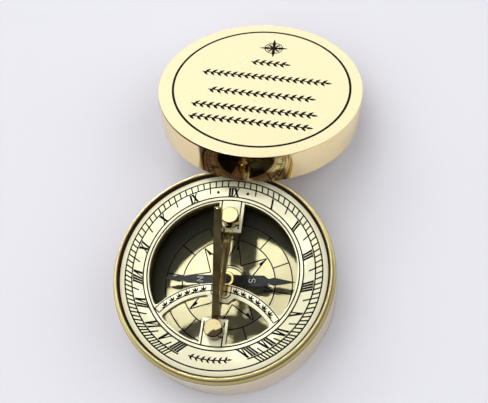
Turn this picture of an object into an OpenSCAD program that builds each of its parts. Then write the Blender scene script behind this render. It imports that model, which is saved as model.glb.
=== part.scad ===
// Sundial compass. A turned brass case holds a glazed compass under a pierced hour plate.
// A triangular gnomon folds down between two posts on the plate, and a push-on lid leans
// against the open case. Millimetres. The origin is the middle of the case's underside,
// +Z is up, and noon on the hour plate is towards +Y.

/* [Case] */
// Outside diameter of the case
case_d = 74.6; // [70:0.2:90]
// Width of the shoulder that the closed lid stands on
shoulder_w = 1.2; // [0.9:0.1:2.4]
// Width of the lip at the top of the neck
lip_w = 1.05; // [0.8:0.05:2]
// Height of the neck above the shoulder
neck_h = 2.8; // [2:0.1:5]
// Depth of the hour plate below the lip
dial_sink = 1.8; // [1:0.1:4]
// Thickness of the case's floor
floor_t = 2; // [1.6:0.1:5]
// Depth of the well between the floor and the compass card
well_depth = 2.2; // [1:0.1:6]
// Width of the ledge that carries the compass card
card_ledge_w = 4; // [2:0.1:6]
// Radius of the case's bottom edge
foot_r = 2; // [0.5:0.1:4]

/* [Compass] */
// Thickness of the compass card
card_t = 0.8; // [0.5:0.1:2]
// Height of the ring that stands on the card and carries the glass
chamber_h = 8; // [7.5:0.1:12]
// Width of that ring
chamber_ring_w = 3; // [2:0.1:5]
// Thickness of the seal under the glass
seal_t = 0.3; // [0.2:0.1:1]
// Thickness of the glass
glass_t = 1.6; // [1:0.1:3]
// Thickness of the spacer ring between the glass and the hour plate
spacer_t = 1.9; // [1:0.1:4]
// Height of the needle's blade above the card
needle_lift = 3.6; // [2.8:0.1:4.2]
// Thickness of the needle's blade
blade_t = 0.4; // [0.3:0.05:0.8]
// Length of the needle's north arm
north_len = 22; // [17:0.5:24]
// Length of the needle's south arm
south_len = 23.5; // [19:0.5:25]
// Turn of the needle away from the east-west line
needle_yaw = 3; // [-45:1:45]
// Width of the needle at its middle
needle_w = 3.8; // [3:0.1:5]
// Width of the north arm's body where its spear starts
north_body_w = 2.6; // [2:0.1:4]
// Length of the spear on the north arm
north_spear_len = 8; // [5:0.1:12]
// Width of the north spear's head
north_spear_w = 2.4; // [1.5:0.1:4]
// Width of the south arm's body where its spear starts
south_body_w = 4; // [2:0.1:5]
// Length of the spear on the south arm
south_spear_len = 10.8; // [5:0.1:12]
// Width of the south spear's head
south_spear_w = 2.8; // [1.5:0.1:4]
// Diameter of the brass cap on the needle
cap_d = 5.8; // [4.4:0.1:7]
// Height of the brass cap
cap_h = 1.2; // [1.1:0.1:2]
// Diameter of the bearing stone in the cap
jewel_d = 3.2; // [2:0.1:3.6]
// Diameter of the steel pivot point
point_d = 0.9; // [0.6:0.1:1.2]
// Diameter of the pillar that holds the pivot point
pillar_d = 4; // [3:0.1:6]
// Diameter of the pillar's spigot in the floor
spigot_d = 2.6; // [1.6:0.1:2.8]

/* [Hour plate] */
// Thickness of the hour plate
dial_t = 2; // [1.6:0.1:3]
// Diameter of the window over the compass
window_d = 49.6; // [47:0.2:54]
// Width of the two tabs that carry the posts
tab_w = 8.6; // [7:0.1:12]
// Distance from a post's axis to the end of its tab
tab_margin = 4.2; // [3.4:0.1:5]
// Distance from the middle of the plate to the middle of the arched band's circle
band_offset = 31; // [29:0.5:33]
// Outside radius of the arched band
band_r = 26.5; // [25:0.5:28]
// Width of the arched band
band_w = 3.9; // [3:0.1:5]
// Width of the tongue at the middle of the band
tongue_w = 8; // [6:0.1:10]
// Distance that the tongue reaches below the band
tongue_drop = 2.4; // [1.8:0.1:3.5]
// Chamfer on the tongue's corners
tongue_chamfer = 1.2; // [0.2:0.1:1.5]
// Radius where the tongue flows into the band
tongue_fillet = 0.7; // [0.2:0.1:1.5]
// Radius where the band flows into the ring
band_fillet = 1; // [0.4:0.1:2]

/* [Posts and gnomon] */
// Distance that the gnomon stands east of the noon line
gnomon_x = 0.6; // [-1:0.1:1]
// Distance from the plate's middle to the upper post
upper_post_y = 18; // [16.5:0.1:20]
// Distance from the plate's middle to the lower post
lower_post_y = 20.5; // [19:0.1:22]
// Diameter of the posts
post_d = 6; // [5:0.1:7]
// Height of the posts above the plate
post_h = 5; // [4.5:0.1:6.5]
// Chamfer round the top of the posts
post_chamfer = 0.3; // [0.1:0.05:0.8]
// Height of the hinge axis above the plate
hinge_h = 2.3; // [2.2:0.1:2.8]
// Diameter of the hinge pins
pin_d = 1; // [0.8:0.1:1.1]
// Length of a hinge pin inside the gnomon
pin_grip = 2.5; // [1.5:0.1:4]
// Thread diameter of the screws that hold the posts
screw_d = 2; // [1.6:0.1:2.4]
// Thickness of the gnomon
gnomon_t = 2.3; // [2:0.1:3]
// Height of the gnomon's base bar
base_bar_h = 2; // [1.9:0.1:3]
// Angle of the style above the plate, which is the latitude that the dial serves
style_angle = 36; // [32:0.5:42]
// Depth of the style bar
style_depth = 2.2; // [1.6:0.1:3]
// Distance from the plate's middle to the tip of the style
style_tip_y = 12; // [10:0.1:13]
// Distance from the plate's middle to the cusp inside the gnomon
cusp_y = 4.8; // [3:0.1:6]
// Radius of the lobe below the cusp
lower_lobe_r = 4.5; // [3.5:0.1:5]
// Radius of the hollow in the back of the gnomon's arm
arm_back_r = 40; // [25:1:80]
// Distance that the style's tip overhangs its arm
tip_overhang = 3.4; // [2.5:0.1:5]
// Radius under the overhanging tip
tip_fillet = 1.2; // [0.5:0.1:2]

/* [Lid] */
// Height of the lid
lid_h = 11.8; // [9:0.1:20]
// Thickness of the lid's wall
lid_wall = 0.75; // [0.6:0.05:1.5]
// Thickness of the lid's face
lid_face_t = 1.4; // [0.8:0.1:3]
// Chamfer round the lid's face
lid_chamfer = 0.35; // [0.1:0.05:0.7]
// Distance that the lid's mouth reaches in over the neck
lid_overlap = 6.4; // [4:0.1:9]
// Direction from the case to the lid, east of noon
lid_bearing = 3.3; // [-10:0.1:10]
// Direction that the lid leans towards, east of noon
lean_bearing = 9.7; // [0:0.1:15]

/* [Fits] */
// Radial gap round what drops into the case
drop_gap = 0.1; // [0.05:0.01:0.2]
// Radial gap round the hinge pins and the pivot point
run_gap = 0.05; // [0.02:0.01:0.1]
// Radial gap between the neck and the closed lid
lid_gap = 0.05; // [0.02:0.01:0.1]
// Gap between the gnomon's ends and the posts
end_gap = 0.3; // [0.3:0.05:0.6]
// Gap between the leaning lid and the lip
lean_gap = 0.4; // [0.35:0.05:1]

/* [Hidden] */
$fn = 128;
arc_steps = 36;
fillet_steps = 12;

brass = [0.83, 0.70, 0.42];
pale_brass = [0.93, 0.89, 0.72];
steel = [0.12, 0.13, 0.13];

// Radii of the case, each from the one outside it
case_r = case_d / 2;
neck_r = case_r - shoulder_w;
bore_r = neck_r - lip_w;
drop_r = bore_r - drop_gap;
well_r = bore_r - card_ledge_w;
window_r = window_d / 2;

// Heights of what is stacked in the case, each from the one below it
card_z = floor_t + well_depth;
chamber_z = card_z + card_t;
seal_z = chamber_z + chamber_h;
glass_z = seal_z + seal_t;
spacer_z = glass_z + glass_t;
plate_z = spacer_z + spacer_t;
dial_z = plate_z + dial_t;
lip_z = dial_z + dial_sink;
shoulder_z = lip_z - neck_h;
edge_break = 0.3;

// The needle and its pivot
tip_gap = 0.1;
jewel_sink = 0.2;
jewel_cup_depth = 0.6;
point_cone_h = 0.3;
point_tip_d = 0.2;
point_seat_depth = 1.4;
blade_gap = 0.5;
spigot_floor = 0.8;
blade_z = chamber_z + needle_lift;
cap_z = blade_z + blade_t;
point_tip_z = cap_z + jewel_cup_depth - tip_gap;
pillar_top_z = blade_z - 2 * blade_gap;
spigot_len = floor_t - spigot_floor;

// The hinge of the gnomon
hinge_z = dial_z + hinge_h;
pin_cover = 0.3;
screw_grip = hinge_h - pin_d / 2 - pin_cover;
head_r = screw_d;
head_h = screw_d / 2;
pin_inset = 0.2;
base_start_y = -lower_post_y + post_d / 2 + end_gap;
base_end_y = upper_post_y - post_d / 2 - end_gap;
bar_top = base_bar_h / 2;

// The leaning lid. Its rim crosses the lip at the two points that the neck and the rim share
// in plan, and the tilt lifts the nearer one of them just over the lip.
lid_r = neck_r + lid_gap + lid_wall;
lid_distance = neck_r + lid_r - lid_overlap;
cross_reach = lid_distance - (pow(lid_distance, 2) + pow(neck_r, 2) - pow(lid_r, 2)) / (2 * lid_distance);
cross_half = sqrt(pow(lid_r, 2) - pow(cross_reach, 2));
lean_turn = abs(lean_bearing - lid_bearing);
lean_reach = cross_reach * cos(lean_turn) - cross_half * sin(lean_turn);
table_gap = 0.02;
lid_tilt = asin((lip_z + lean_gap - table_gap) / (lid_r + lean_reach));
lid_mouth = [lid_distance * sin(lid_bearing), lid_distance * cos(lid_bearing),
             table_gap + lid_r * sin(lid_tilt)];

// The point east of the noon line where two circles meet whose middles lie on that line
function meet_east(y1, r1, y2, r2) =
    let (y = (y1 + y2) / 2 + (r1 * r1 - r2 * r2) / (2 * (y2 - y1)))
    [sqrt(r1 * r1 - pow(y - y1, 2)), y];

// Direction of p as seen from c, from 0 to 360
function bearing(c, p) = (atan2(p[1] - c[1], p[0] - c[0]) + 360) % 360;

// Points along an arc about c
function arc(c, r, from, to, steps) =
    [for (i = [0:steps]) let (a = from + (to - from) * i / steps) c + r * [cos(a), sin(a)]];

module ring(r_out, r_in, h) {
    difference() {
        cylinder(r = r_out, h = h);
        translate([0, 0, -1]) cylinder(r = r_in, h = h + 2);
    }
}

module case_body() {
    color(brass) difference() {
        rotate_extrude() {
            translate([0, foot_r]) square([case_r, shoulder_z - foot_r - edge_break]);
            square([case_r - foot_r, shoulder_z]);
            translate([case_r - foot_r, foot_r]) circle(r = foot_r);
            polygon([[0, shoulder_z - edge_break], [case_r, shoulder_z - edge_break],
                     [case_r - edge_break, shoulder_z], [0, shoulder_z]]);
            square([neck_r, lip_z - edge_break]);
            polygon([[0, lip_z - edge_break], [neck_r, lip_z - edge_break],
                     [neck_r - edge_break, lip_z], [0, lip_z]]);
        }
        translate([0, 0, card_z]) cylinder(r = bore_r, h = lip_z);
        translate([0, 0, floor_t]) cylinder(r = well_r, h = lip_z);
        translate([0, 0, floor_t - spigot_len]) cylinder(d = spigot_d, h = lip_z);
    }
}

module compass_card() {
    color(pale_brass) translate([0, 0, card_z]) ring(drop_r, pillar_d / 2 + drop_gap, card_t);
}

module chamber_ring() {
    color(brass) translate([0, 0, chamber_z]) ring(drop_r, drop_r - chamber_ring_w, chamber_h);
}

module glass_seal() {
    color("dimgray") translate([0, 0, seal_z]) ring(drop_r, drop_r - chamber_ring_w, seal_t);
}

module compass_glass() {
    color([0.8, 0.9, 0.9, 0.3]) translate([0, 0, glass_z]) cylinder(r = drop_r, h = glass_t);
}

module spacer_ring() {
    color(brass) translate([0, 0, spacer_z]) ring(drop_r, window_r + drop_gap, spacer_t);
}

// The window above the arched band, with the upper tab cut into it. Each outline runs
// anticlockwise, and the western half of it mirrors the eastern one.
module upper_window() {
    middle = [0, -band_offset];
    tab_turn = asin(tab_w / 2 / window_r);
    tab_end = upper_post_y - tab_margin;
    root = meet_east(0, window_r - band_fillet, -band_offset, band_r + band_fillet);
    east = bearing([0, 0], root) - 360;
    band_east = bearing(middle, root);
    polygon(concat(
        arc([0, 0], window_r, east, 90 - tab_turn, arc_steps),
        [[tab_w / 2, tab_end], [-tab_w / 2, tab_end]],
        arc([0, 0], window_r, 90 + tab_turn, 180 - east, arc_steps),
        arc([-root[0], root[1]], band_fillet, 180 - east, 360 - band_east, fillet_steps),
        arc(middle, band_r, 180 - band_east, band_east, arc_steps),
        arc(root, band_fillet, band_east - 180, east, fillet_steps)));
}

// The window below the band, with the band's tongue above and the lower tab below
module lower_window() {
    middle = [0, -band_offset];
    inner_r = band_r - band_w;
    tab_turn = asin(tab_w / 2 / window_r);
    tab_end = -lower_post_y + tab_margin;
    root = meet_east(0, window_r - band_fillet, -band_offset, inner_r - band_fillet);
    east = bearing([0, 0], root) - 360;
    band_east = bearing(middle, root);
    tongue_end = middle[1] + inner_r - tongue_drop;
    fillet = min(tongue_fillet, 0.6 * (tongue_drop - tongue_chamfer));
    tongue = [for (side = [1, -1])
        let (x = gnomon_x + side * (tongue_w / 2 + fillet))
        [x, middle[1] + sqrt(pow(inner_r - fillet, 2) - x * x)]];
    polygon(concat(
        arc([0, 0], window_r, tab_turn - 90, east, arc_steps),
        arc(root, band_fillet, east, band_east, fillet_steps),
        arc(middle, inner_r, band_east, bearing(middle, tongue[0]), fillet_steps),
        arc(tongue[0], fillet, bearing(middle, tongue[0]), 180, fillet_steps),
        [[gnomon_x + tongue_w / 2, tongue_end + tongue_chamfer],
         [gnomon_x + tongue_w / 2 - tongue_chamfer, tongue_end],
         [gnomon_x - tongue_w / 2 + tongue_chamfer, tongue_end],
         [gnomon_x - tongue_w / 2, tongue_end + tongue_chamfer]],
        arc(tongue[1], fillet, 0, bearing(middle, tongue[1]), fillet_steps),
        arc(middle, inner_r, bearing(middle, tongue[1]), 180 - band_east, fillet_steps),
        arc([-root[0], root[1]], band_fillet, 180 - band_east, 180 - east, fillet_steps),
        arc([0, 0], window_r, 180 - east, 270 - tab_turn, arc_steps),
        [[-tab_w / 2, tab_end], [tab_w / 2, tab_end]]));
}

module hour_plate() {
    color(pale_brass) difference() {
        translate([0, 0, plate_z]) cylinder(r = drop_r, h = dial_t);
        translate([0, 0, plate_z - 1]) linear_extrude(dial_t + 2) {
            upper_window();
            lower_window();
        }
        for (y = [upper_post_y, -lower_post_y]) translate([gnomon_x, y, plate_z]) {
            cylinder(d = screw_d + 2 * drop_gap, h = dial_t + 1);
            translate([0, 0, -1]) cylinder(r = head_r + drop_gap, h = 1);
            cylinder(r1 = head_r + drop_gap, r2 = head_r - head_h + drop_gap, h = head_h);
        }
    }
}

module post_at(y) {
    r = post_d / 2;
    color(brass) difference() {
        translate([gnomon_x, y, dial_z]) rotate_extrude()
            polygon([[0, 0], [r, 0], [r, post_h - post_chamfer], [r - post_chamfer, post_h], [0, post_h]]);
        translate([gnomon_x, y, dial_z - 1]) cylinder(d = screw_d, h = screw_grip + 1);
        translate([gnomon_x, y - post_d, hinge_z]) rotate([-90, 0, 0]) cylinder(d = pin_d, h = 2 * post_d);
    }
}

module upper_post() { post_at(upper_post_y); }

module lower_post() { post_at(-lower_post_y); }

// A slotted countersunk screw, flush with the underside of the plate
module post_screw_at(y) {
    slot_w = 0.5;
    slot_depth = 0.4;
    color(brass) translate([gnomon_x, y, plate_z]) difference() {
        union() {
            cylinder(r1 = head_r, r2 = head_r - head_h, h = head_h);
            cylinder(d = screw_d, h = dial_t + screw_grip - tip_gap);
        }
        translate([-head_r, -slot_w / 2, -1]) cube([2 * head_r, slot_w, slot_depth + 1]);
    }
}

module upper_post_screw() { post_screw_at(upper_post_y); }

module lower_post_screw() { post_screw_at(-lower_post_y); }

// A pin along Y, pressed into a post from its outer side, with its free end in the gnomon
module hinge_pin_at(outer_y, inner_y) {
    color("silver") translate([gnomon_x, min(outer_y, inner_y), hinge_z]) rotate([-90, 0, 0])
        cylinder(d = pin_d, h = abs(outer_y - inner_y));
}

module upper_hinge_pin() {
    hinge_pin_at(upper_post_y + post_d / 2 - pin_inset, base_end_y - pin_grip);
}

module lower_hinge_pin() {
    hinge_pin_at(-lower_post_y - post_d / 2 + pin_inset, base_start_y + pin_grip);
}

// The gnomon seen from the east, with the hinge axis at height 0 and noon to the right.
// The style bar rises from its toe, and a back arm with an inner cusp carries its upper end.
module gnomon_outline() {
    toe = [base_start_y, bar_top];
    heel = [base_end_y, bar_top];
    along = [cos(style_angle), sin(style_angle)];
    above = [-sin(style_angle), cos(style_angle)];
    function under_at(y) = toe - style_depth * above + along * (y - toe[0] + style_depth * above[0]) / along[0];
    tip_r = style_depth / 2;
    tip = toe + along * ((style_tip_y - toe[0]) / along[0] - tip_r) - tip_r * above;

    // The back of the arm is hollow, and a fillet joins it to the overhanging tip
    head = under_at(style_tip_y - tip_overhang);
    chord = head - heel;
    hollow = (heel + head) / 2 + sqrt(pow(arm_back_r / norm(chord), 2) - 0.25) * [chord[1], -chord[0]];
    start = head - tip_fillet * above - hollow;
    past = start * along;
    root = hollow + start + (-past - sqrt(past * past - start * start + pow(arm_back_r - tip_fillet, 2))) * along;

    // The lower lobe stands on the base bar, the upper one hangs from the style, and they meet
    // in the cusp
    lower_lobe = [cusp_y, bar_top + lower_lobe_r];
    cusp = lower_lobe + [0, lower_lobe_r];
    upper_lobe_r = (under_at(cusp_y) - cusp) * above / 2;
    corner_y = toe[0] + style_depth / along[1];

    difference() {
        polygon(concat(
            [[toe[0], -bar_top], [heel[0], -bar_top]],
            arc(hollow, arm_back_r, bearing(hollow, heel), bearing(hollow, root), fillet_steps),
            arc(root, tip_fillet, bearing(hollow, root), style_angle + 90, fillet_steps),
            arc(tip, tip_r, style_angle - 90, style_angle + 90, arc_steps / 2),
            [toe]));
        polygon(concat(
            [[corner_y, bar_top]],
            arc(lower_lobe, lower_lobe_r, -90, 90, arc_steps / 2),
            arc(cusp + upper_lobe_r * above, upper_lobe_r, style_angle - 90, style_angle + 90, arc_steps / 2)));
    }
}

module gnomon() {
    bore_depth = pin_grip + end_gap;
    color(brass) difference() {
        translate([gnomon_x - gnomon_t / 2, 0, hinge_z]) rotate([90, 0, 90])
            linear_extrude(gnomon_t) gnomon_outline();
        for (y = [base_start_y - 1, base_end_y - bore_depth]) translate([gnomon_x, y, hinge_z])
            rotate([-90, 0, 0]) cylinder(d = pin_d + 2 * run_gap, h = bore_depth + 1);
    }
}

module pivot_pillar() {
    color(brass) difference() {
        union() {
            translate([0, 0, floor_t]) cylinder(d = pillar_d, h = pillar_top_z - floor_t);
            translate([0, 0, floor_t - spigot_len]) cylinder(d = spigot_d, h = spigot_len + 1);
        }
        translate([0, 0, pillar_top_z - point_seat_depth]) cylinder(d = point_d, h = point_seat_depth + 1);
    }
}

module pivot_point() {
    shank_z = pillar_top_z - point_seat_depth;
    cone_z = point_tip_z - point_cone_h;
    color("silver") {
        translate([0, 0, shank_z]) cylinder(d = point_d, h = cone_z - shank_z);
        translate([0, 0, cone_z]) cylinder(d1 = point_d, d2 = point_tip_d, h = point_cone_h);
    }
}

// One arm of the needle along +X: a straight body, a neck and a spear head
module needle_arm(len, body_w, spear_len, spear_w) {
    body = len - spear_len;
    half = [[0, needle_w / 2], [body, body_w / 2],
            [body + 0.15 * spear_len, 0.3 * spear_w], [body + 0.32 * spear_len, spear_w / 2]];
    polygon(concat(half, [[len, 0]], [for (i = [3:-1:0]) [half[i][0], -half[i][1]]]));
}

module needle_blade() {
    color(steel) translate([0, 0, blade_z]) rotate(needle_yaw) linear_extrude(blade_t) difference() {
        union() {
            needle_arm(south_len, south_body_w, south_spear_len, south_spear_w);
            rotate(180) needle_arm(north_len, north_body_w, north_spear_len, north_spear_w);
        }
        circle(d = point_d + 2 * blade_gap);
    }
}

module needle_cap() {
    color(brass) translate([0, 0, cap_z]) rotate_extrude()
        polygon([[jewel_d / 2, 0], [cap_d / 2, 0], [cap_d / 2, cap_h - edge_break],
                 [cap_d / 2 - edge_break, cap_h], [jewel_d / 2, cap_h]]);
}

module cap_jewel() {
    color([0.05, 0.25, 0.2]) translate([0, 0, cap_z]) difference() {
        cylinder(d = jewel_d, h = cap_h - jewel_sink);
        translate([0, 0, -1]) cylinder(r = point_d / 2 + run_gap, h = jewel_cup_depth + 1);
    }
}

module lid() {
    inner_r = lid_r - lid_wall;
    color(brass) translate(lid_mouth) rotate([0, lid_tilt, 90 - lean_bearing]) rotate_extrude()
        polygon([[inner_r, 0], [lid_r, 0], [lid_r, lid_h - lid_chamfer], [lid_r - lid_chamfer, lid_h],
                 [0, lid_h], [0, lid_h - lid_face_t], [inner_r, lid_h - lid_face_t]]);
}

case_body();
compass_card();
chamber_ring();
glass_seal();
compass_glass();
spacer_ring();
hour_plate();
upper_post();
lower_post();
upper_post_screw();
lower_post_screw();
upper_hinge_pin();
lower_hinge_pin();
gnomon();
pivot_pillar();
pivot_point();
needle_blade();
needle_cap();
cap_jewel();
lid();
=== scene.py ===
"""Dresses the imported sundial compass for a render.

Turned brass case and lid, a pierced hour plate with filled engraving, a folding gnomon,
a compass card and needle under glass, and a pale studio floor. Meshes are worked out in
millimetres and brought to metres when a piece is finished.
"""

import math

import bmesh
import bpy
from mathutils import Matrix, Vector


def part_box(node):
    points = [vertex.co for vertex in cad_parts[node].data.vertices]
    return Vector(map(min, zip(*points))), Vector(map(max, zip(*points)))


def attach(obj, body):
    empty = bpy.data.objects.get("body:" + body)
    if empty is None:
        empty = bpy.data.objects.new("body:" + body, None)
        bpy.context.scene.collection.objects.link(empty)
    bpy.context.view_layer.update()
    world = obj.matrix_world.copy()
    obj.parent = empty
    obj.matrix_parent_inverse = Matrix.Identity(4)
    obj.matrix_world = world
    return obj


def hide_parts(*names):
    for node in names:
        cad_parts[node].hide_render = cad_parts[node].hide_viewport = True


bl_info = {
    "name": "Sundial compass",
    "version": (1, 0, 0),
    "blender": (4, 5, 0),
    "location": "3D View > Sidebar > Sundial",
    "description": "Brass case, engraved hour plate, gnomon, compass, lid and studio",
    "category": "Object",
}

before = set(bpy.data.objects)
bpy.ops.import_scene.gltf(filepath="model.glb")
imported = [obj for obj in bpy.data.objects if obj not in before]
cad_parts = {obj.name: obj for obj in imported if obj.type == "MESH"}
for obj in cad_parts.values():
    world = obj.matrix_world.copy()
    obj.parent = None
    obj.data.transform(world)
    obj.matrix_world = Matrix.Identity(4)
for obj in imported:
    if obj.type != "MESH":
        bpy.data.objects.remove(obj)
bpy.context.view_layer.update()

MM = 0.001
TURN_STEPS = 160
SMOOTH_ANGLE = math.radians(32)
SHARP_ANGLE = math.radians(40)


def span(node):
    """Lowest and highest corner of a CAD node, in millimetres."""
    low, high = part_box(node)
    return low / MM, high / MM


CASE_R = span("case_body")[1].x
LIP_Z = span("case_body")[1].z
PLATE_R = span("hour_plate")[1].x
PLATE_Z = span("hour_plate")[0].z
DIAL_Z = span("hour_plate")[1].z
CARD_Z = span("compass_card")[1].z
NEEDLE_Z = span("needle_blade")[1].z
CAP_Z, CAP_TOP = span("needle_cap")[0].z, span("needle_cap")[1].z
CAP_R = span("needle_cap")[1].x
JEWEL_R = span("cap_jewel")[1].x
POST_TOP = span("upper_post")[1].z
LOW_POST_AT = (span("lower_post")[0] + span("lower_post")[1]) / 2

# The painted reflection on the plate's tongue, gold with dark streaks: its middle and its half
# width and half height
TONGUE_AT = (0.5, -6.3, 0)
TONGUE_HALF = (3.2, 3.0)

# Where painted shade and painted reflections fade, in millimetres. The ragged patch of painted
# reflection on the lower post: the side it lies on, how ragged it is, and its edge. The gnomon's
# low end, by height from the dial's middle. The painted reflection on the lid's wall: how far
# away, its left and right part across, and the line below the face.
PATCH_SIDE, PATCH_RAGGED, PATCH_EDGE = (0.45, -0.893, 0), 2.5, (0.9, 1.2)
LOW_END = (-24, -8)
REFLECTION_AWAY = (44, 48)
REFLECTION_LEFT, REFLECTION_SPLIT, REFLECTION_RIGHT = (-12.2, -11), (3, 5.5), (17, 19)
EDGE_ACROSS, EDGE_AWAY = (8, 24), (78, 92)

# How deep the fine marks in the finishes are, in metres
MARK_DEPTH = 0.00001

# The case's profile, as in the part's source
SHOULDER_W = 1.2
LIP_W = 1.05
NECK_H = 2.8
FOOT_R = 2.0
FLOOR_T = 2.0
LEDGE_W = 4.0
SPIGOT_R = 1.3
SPIGOT_Z = 0.8

# The chamfer inside the lip, which only the visible case has
CHAMFER_W = 0.6
CHAMFER_H = 0.65

# How far the needle lies turned at rest
NEEDLE_YAW = math.radians(3)

# The lid: a shallow cup that leans on the lip. Its local Z runs from the mouth to the face.
LID_R = 36.9
LID_WALL = 0.75
LID_FACE_T = 1.4
LID_H = 11.8
LID_MOUTH = Vector((3.8338, 66.4896, 11.2785))
LID_PLACE = (Matrix.Translation(LID_MOUTH) @ Matrix.Rotation(math.radians(80.3), 4, "Z")
             @ Matrix.Rotation(math.radians(17.7647), 4, "Y"))
LID_AXIS = (LID_PLACE.to_3x3() @ Vector((0, 0, 1))).normalized()


def lid_face_place():
    """Matrix from the lid's face, X to the right and Y towards its far edge, to the frame."""
    right = Vector((0, 1, 0)).cross(LID_AXIS).normalized()
    up = LID_AXIS.cross(right)
    turned = Matrix((right, up, LID_AXIS)).transposed().to_4x4()
    return Matrix.Translation(LID_MOUTH + LID_H * LID_AXIS) @ turned


LID_FACE = lid_face_place()

# Hours east and west of noon: numeral, dial angle at the numerals, dial angle in the minute band
NUMERAL_R = 28.6
MINUTE_R = 31.7
AFTERNOON = (("", 2.3, 2.1), ("I", 28.7, 25.8), ("II", 52.1, 49.7), ("III", 74.5, 72.4),
             ("IIII", 96.1, 93.2), ("V", 115.6, 111.5), ("VI", 131.3, 127.7),
             ("VII", 142.5, 139.9), ("VIII", 155.6, 151.6))
MORNING = (("", -4.6, -4.2), ("XI", -28.5, -27.8), ("X", -53.9, -51.9), ("IX", -77.9, -75.6),
           ("VIII", -99.2, -95.8), ("VII", -117.7, -113.5), ("VI", -134.7, -129.9),
           ("V", -146.7, -143.1), ("IIII", -158.2, -154.6))

# Each letter's width, and its strokes: foot, head, and whether the stroke is thick. Feet and
# heads are in widths of the letter from its middle.
LETTERS = {
    "I": (0.88, ((0, 0, True),)),
    "V": (1.95, ((0, -0.36, True), (0, 0.36, False))),
    "X": (1.95, ((0.34, -0.34, True), (-0.34, 0.34, False))),
}

# How much wider than its stroke a serif is, its height, and how much thicker than an upright
# stroke a thick diagonal is
SERIF_OUT, SERIF_TALL, DIAGONAL = 0.3, 0.2, 1.15

# How a leaf swells: shares of its length and of its half width
LEAF_SHAPE = ((0.18, 0.7), (0.42, 1.0), (0.7, 0.62))

# How deep below the metal all filler starts, and the share of the dial's line width that the
# finer lines of the arched band and its tongue have
SINK = 0.01
FINE_LINE = 0.8

# The rest of the hour plate's engraving, and a black ring of painted shade at the plate's edge, in
# millimetres and degrees
EDGE_SHADE_IN, EDGE_SHADE_LINE = 0.15, 0.28
MINUTES_FROM, MINUTES_TO = -157, 160.5
HALF_HOUR_R = 28.4
NOON_DOT_R, NOON_DOT_HALF = 28.65, 0.5
NOON_DOTS = (-11.0, 9.8)
TAB_MIDDLE, TAB_HALF = -0.16, 3.33
TAB_LINES = ((25.2, 14.9), (-25.2, -17.3))
TONGUE_LINE = ((-2.8, -5.2), (-2.7, -8), (-1.7, -8.8), (-1, -9.4), (2.3, -9.4), (3.2, -8.8),
               (3.7, -8), (3.8, -5.2))
SPRIG_R, SPRIG_FROM, SPRIG_SWEEP = 29.7, 193.5, -25
SPRIG_REACH, SPRIG_LINE, SPRIG_LEAVES = 1.5, 0.36, 7

# A sprig's leaves in shares of its reach: their length each way, width, stagger and last leaf
LEAF_OUT, LEAF_WIDE, LEAF_STAGGER, LAST_LEAF = 0.72, 0.44, 0.12, 0.9

# The arched band's border: how far its circles' centre is below the dial's, and their radii.
# In its clusters each leaf has a base and a tip, by radius and angle, and a width.
BAND_DOWN, BAND_END_R = 31, 25.2
BAND_OUTER, BAND_INNER = 26.1, 24.0
BAND_CLUSTERS, FIRST_CLUSTER, CLUSTER_STEP = 6, 12.3, 6.35
CLUSTER = ((0.15, 0, 1.98, 0.2, 0.66), (0.2, -0.4, 1.6, -2.3, 0.56), (0.2, 0.4, 1.6, 2.3, 0.56),
           (0.25, 1.0, 0.5, 4.0, 0.44))

# The compass card: its circles, and its twelve ticks and eight-point star
CARD_CIRCLES = (5.8, 6.6, 16.3, 22.2)
TICK_FROM = -25
STAR_FROM, STAR_TIP_R, STAR_VALLEY_R = 5, 15.9, 7.7
STAR_SHADE_R, STAR_SHADE_WIDTH = 12.6, 4.5

# The needle's letters: half their width, half their height, their line, rise and places
LETTER_HALF, LETTER_TALL, LETTER_LINE, LETTER_RISE = 0.7, 1.1, 0.26, 0.02
N_AT, S_AT = -9.3, 8.7

# The lid's engraving on its face: the circle; the compass rose's points by reach and width, and
# its circles by radius, line and steps; and the leaf rows by left end, right end and height
LID_CIRCLE_AT, LID_CIRCLE_LINE = (0.45, 0.1), 0.85
ROSE_AT, ROSE_TURN = (2.4, 22.1), -2
ROSE_POINTS = ((5.6, 1.3), (3.4, 0.8))
ROSE_CIRCLES = ((3.3, 0.34, 48), (2.5, 0.22, 40))
LID_ROWS = ((-5.0, 9.4, 12.9), (-22.2, 25.2, 4.6), (-18.3, 20.3, -5.0), (-23.0, 21.6, -13.3),
            (-22.8, 20.5, -19.8))
ROW_SLOPE, ROW_TIP, ROW_STEP, ROW_REACH, ROW_LINE = -0.045, 1.6, 2.7, 2.5, 0.5

# The studio, in metres. Each fill lamp has a share of the fill's power. The floor fades into
# the background between two distances from a spot below the object, which is in millimetres.
FLOOR_HALF, FLOOR_DOWN = 1.5, -0.02 * MM
FADE_FROM, FADE_TO, FADE_SPOT = 0.17, 0.5, (0, 30, 0)
SOFTBOX_SIZE, SOFTBOX_AT = 0.08, (-0.24, 0.43, 0.81)
FILL_SIZE = 1.4
FILLS = (("fill_back", 0.92, (-0.5, 0.5, 1.1)), ("fill_front", 0.72, (-0.4, -0.7, 0.9)),
         ("fill_right", 0.9, (0.9, 0.1, 0.8)))
STUDIO_WHITE = (0.985, 0.985, 1.0)

# The photograph's camera, from the fitted circles of the dial and the lid; its place is in
# millimetres
CAMERA_AT = Vector((45.86, -74.96, 246.36))
CAMERA_RIGHT = Vector((0.98391, 0.12832, -0.12484))
CAMERA_UP = Vector((-0.06614, 0.90858, 0.41257))
SENSOR_WIDTH, LENS = 36.0, 54.347


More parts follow.
